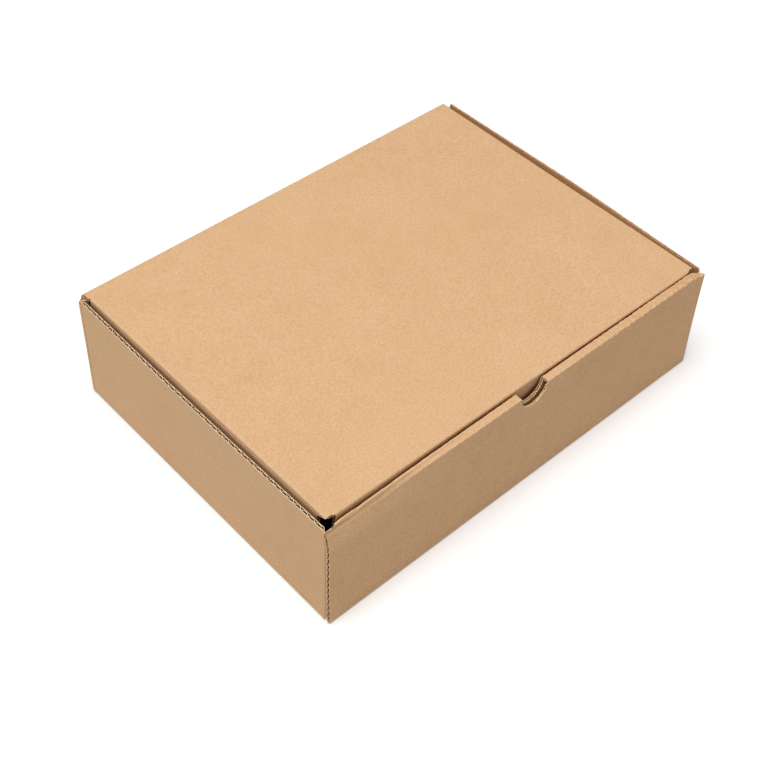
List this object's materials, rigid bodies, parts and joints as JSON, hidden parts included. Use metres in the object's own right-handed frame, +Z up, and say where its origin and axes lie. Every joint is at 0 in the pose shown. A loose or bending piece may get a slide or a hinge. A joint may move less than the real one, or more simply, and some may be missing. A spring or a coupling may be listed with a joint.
{
  "type": "closed cardboard box",
  "caption": "Shallow corrugated mailer box with a hinged tuck-in lid, a roll-over front wall and a half-round finger notch.",
  "frame": {"origin": "on the floor, under the middle of the box", "axes": "+X along the long front wall, +Y from the notched front wall to the hinged back wall, +Z up"},
  "size_m": [0.35, 0.262, 0.0964],
  "materials": {
    "kraft_board": "matte, uncoated brown kraft liner"
  },
  "bodies": {
    "tray": {"tray": "kraft_board"},
    "lid": {"lid": "kraft_board"}
  },
  "joints": [
    {"name": "lid_hinge", "type": "hinge", "parent": "tray", "child": "lid", "pos_m": [0, 0.1298, 0.0952], "axis": [-1, 0, 0], "range_deg": [0, 180]}
  ]
}
